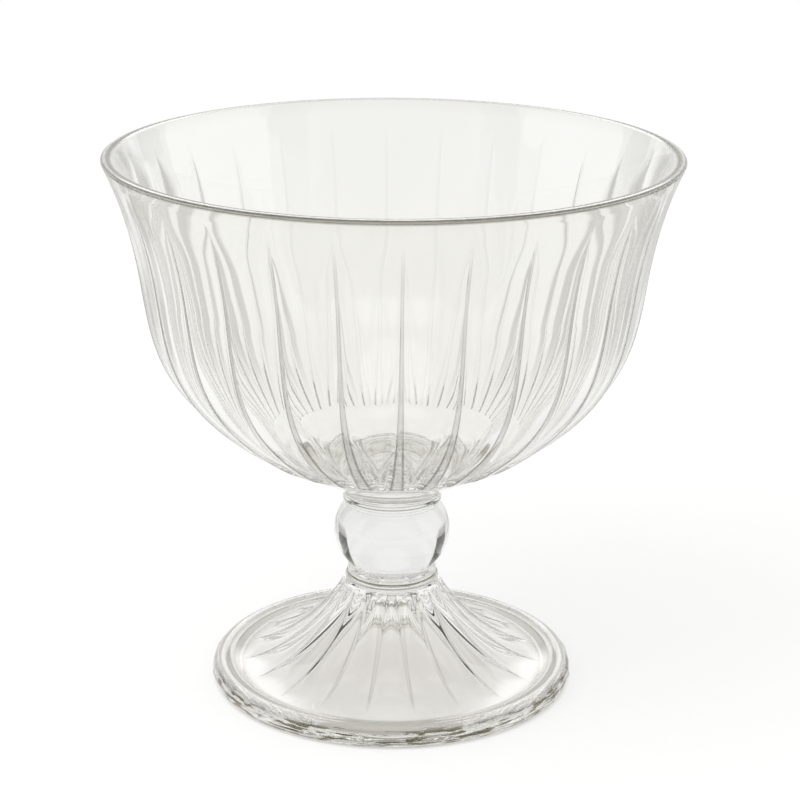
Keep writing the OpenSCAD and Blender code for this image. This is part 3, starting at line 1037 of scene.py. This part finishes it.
# %% White for sight, matt for light
MATT_COLOUR = (0.94, 0.925, 0.91, 1)
WHITE_SHARE = 0.75
SHADOW_NEAR, SHADOW_FAR = 0.05, 0.8
paths = ground.nodes.new("ShaderNodeLightPath").outputs
sight = maths(ground, "MAXIMUM", paths["Is Camera Ray"], paths["Is Glossy Ray"])
sight = maths(ground, "MAXIMUM", sight, paths["Is Transmission Ray"])
share = times(ground, sight, eased(ground, away, SHADOW_NEAR, SHADOW_FAR, WHITE_SHARE, 1.0))
matt = wire(ground, ground.nodes.new("ShaderNodeBsdfDiffuse"), Color=MATT_COLOUR)
white = wire(ground, ground.nodes.new("ShaderNodeEmission"), Color=floor_colour, Strength=1.0)
both = ground.nodes.new("ShaderNodeMixShader")
for socket, source in zip(both.inputs, (share, matt.outputs[0], white.outputs[0])):
    ground.links.new(source, socket)
ground.links.new(both.outputs[0], ground.nodes.new("ShaderNodeOutputMaterial").inputs["Surface"])
floor_mesh.materials.append(sweep)
print("floor nodes:", len(ground.nodes))

# %% [markdown]
# ## World
# The world is white for the camera, and glass sees a studio in it: a bright horizon, a softer dome with a
# light at the top, four tall dark panels, a dim side where the camera stands with a soft box above it, and a
# strip behind the bowl that only reflections catch. The panels darken the knop's sides, and the strip is
# there for glints.

# %% Directions in the world
world = bpy.data.worlds.new("studio")
bpy.context.scene.world = world
world.use_nodes = True
sky = world.node_tree
sky.nodes.clear()
sky_point = sky.nodes.new("ShaderNodeTexCoord").outputs["Generated"]
look = wire(sky, sky.nodes.new("ShaderNodeSeparateXYZ"), Vector=sky_point).outputs
elevation = maths(sky, "ARCSINE", look["Z"])
aside = maths(sky, "ABSOLUTE", look["X"])
quarter_turn = maths(sky, "ARCTAN2", aside, maths(sky, "ABSOLUTE", look["Y"]))
front_turn = maths(sky, "ABSOLUTE", maths(sky, "ARCTAN2", look["X"], times(sky, look["Y"], -1.0)))
back_turn = minus(sky, math.pi, front_turn)


def faded(value, span, low=0.0, high=1.0):
    """Smooth change from low to high between two angles in degrees."""
    return eased(sky, value, math.radians(span[0]), math.radians(span[1]), low, high)


print("direction nodes:", len(sky.nodes))

# %% Dome, panels and lights
DOME, HORIZON, TOP_LIGHT = 0.3, 1.0, 1.2
PANEL = 0.07
CAMERA_SIDE = 0.3
FRONT_BOX = 0.8
BACK_STRIP = 2.5
DOME_EDGE, TOP_EDGE, CAMERA_EDGE = (38, 60), (74, 78), (30, 65)
BOX_LOW, BOX_HIGH, BOX_SIDE = (40, 50), (62, 72), (26, 44)
STRIP_LOW, STRIP_HIGH, STRIP_SIDE = (18, 24), (40, 46), (16, 24)
PANEL_SIDE, PANEL_HIGH = (11, 9), (48, 58)
dome = faded(elevation, DOME_EDGE, HORIZON, DOME)
top = faded(elevation, TOP_EDGE, 0.0, TOP_LIGHT - DOME)
past_camera = faded(front_turn, CAMERA_EDGE)
glow = plus(sky, CAMERA_SIDE, times(sky, past_camera, minus(sky, dome, CAMERA_SIDE)))
front_box = times(
    sky,
    faded(elevation, BOX_LOW, 0.0, FRONT_BOX),
    faded(elevation, BOX_HIGH, 1.0, 0.0),
    faded(front_turn, BOX_SIDE, 1.0, 0.0),
)
back_strip = times(
    sky,
    faded(elevation, STRIP_LOW, 0.0, BACK_STRIP),
    faded(elevation, STRIP_HIGH, 1.0, 0.0),
    faded(back_turn, STRIP_SIDE, 1.0, 0.0),
)
open_dome = plus(sky, glow, top, front_box)
off_panel = maths(sky, "ABSOLUTE", minus(sky, quarter_turn, math.radians(PANEL_TURN)))
panels = times(sky, faded(off_panel, PANEL_SIDE), faded(elevation, PANEL_HIGH, 1.0, 0.0))
studio = plus(sky, open_dome, times(sky, panels, minus(sky, PANEL, open_dome)))
print("studio nodes:", len(sky.nodes))

# %% What each kind of ray sees
AMBIENT = 0.95
WARM_DARK = (1.0, 0.96, 0.85)
NEUTRAL = (1.0, 1.0, 1.0)
rays = sky.nodes.new("ShaderNodeLightPath").outputs
reflected = maths(sky, "MAXIMUM", minus(sky, rays["Is Glossy Ray"], rays["Is Transmission Ray"]), 0.0)
studio = plus(sky, studio, times(sky, back_strip, reflected))
by_glass = maths(sky, "MAXIMUM", rays["Is Glossy Ray"], rays["Is Transmission Ray"])
lit = plus(sky, AMBIENT, times(sky, by_glass, minus(sky, studio, AMBIENT)))
strength = maths(sky, "MAXIMUM", lit, rays["Is Camera Ray"])
hue = blend(sky, strength, WARM_DARK, NEUTRAL)
background = wire(sky, sky.nodes.new("ShaderNodeBackground"), Color=hue, Strength=strength)
sky.links.new(background.outputs[0], sky.nodes.new("ShaderNodeOutputWorld").inputs["Surface"])
print("world nodes:", len(sky.nodes))

# %% [markdown]
# ## Light and camera
# One large softbox hangs to the left above the bowl and gives the shadow its direction; the world fills the
# rest. The camera stands where the ellipses of the lip and the foot say: the lip is seen closer to edge-on
# than the foot, and the two together fix both its distance and its height.

# %% Softbox
SOFTBOX_SIZE = (0.7, 0.9)
SOFTBOX_POWER = 6.0
SOFTBOX_PLACE = (-0.55, -0.35, 0.95)
SOFTBOX_AIM = Vector((0, 0, 0.05))
softbox = bpy.data.lights.new("softbox", "AREA")
softbox.shape = "RECTANGLE"
softbox.size, softbox.size_y = SOFTBOX_SIZE
softbox.energy = SOFTBOX_POWER
softbox_object = bpy.data.objects.new("softbox", softbox)
softbox_object.location = SOFTBOX_PLACE
aim = SOFTBOX_AIM - softbox_object.location
softbox_object.rotation_euler = aim.to_track_quat("-Z", "Y").to_euler()
softbox_object.visible_camera = False
softbox_object.visible_glossy = False
softbox_object.visible_transmission = False
bpy.context.scene.collection.objects.link(softbox_object)
print("softbox:", softbox.energy, "W")

# %% Camera
FOCAL_PIXELS = 2300
FRAME_PIXELS = 800
SENSOR = 36.0
CAMERA_PLACE = Vector((1.5 * MM, -445.7 * MM, 206.6 * MM))
CAMERA_DIP = math.radians(18.2)
CAMERA_ROLL = math.radians(0.35)
camera_data = bpy.data.cameras.new("camera")
camera_data.sensor_width = SENSOR
camera_data.lens = SENSOR * FOCAL_PIXELS / FRAME_PIXELS
camera = bpy.data.objects.new("camera", camera_data)
camera.location = CAMERA_PLACE
dipped = Matrix.Rotation(math.pi / 2 - CAMERA_DIP, 3, "X")
camera.rotation_euler = (dipped @ Matrix.Rotation(CAMERA_ROLL, 3, "Z")).to_euler()
bpy.context.scene.collection.objects.link(camera)
bpy.context.scene.camera = camera
print("lens:", round(camera_data.lens, 1), "mm")

# %% [markdown]
# Light runs round inside the lip many times before it comes out, so the picture needs far more bounces than
# usual. With few of them the lip turns black.

# %% Picture settings
GLASS_BOUNCES = 80
SEAT_BOUNCES = 32
picture = bpy.context.scene
picture.view_settings.view_transform = "Standard"
picture.cycles.max_bounces = GLASS_BOUNCES
picture.cycles.transmission_bounces = GLASS_BOUNCES
picture.cycles.glossy_bounces = GLASS_BOUNCES
picture.cycles.transparent_max_bounces = SEAT_BOUNCES
print("view transform:", picture.view_settings.view_transform)
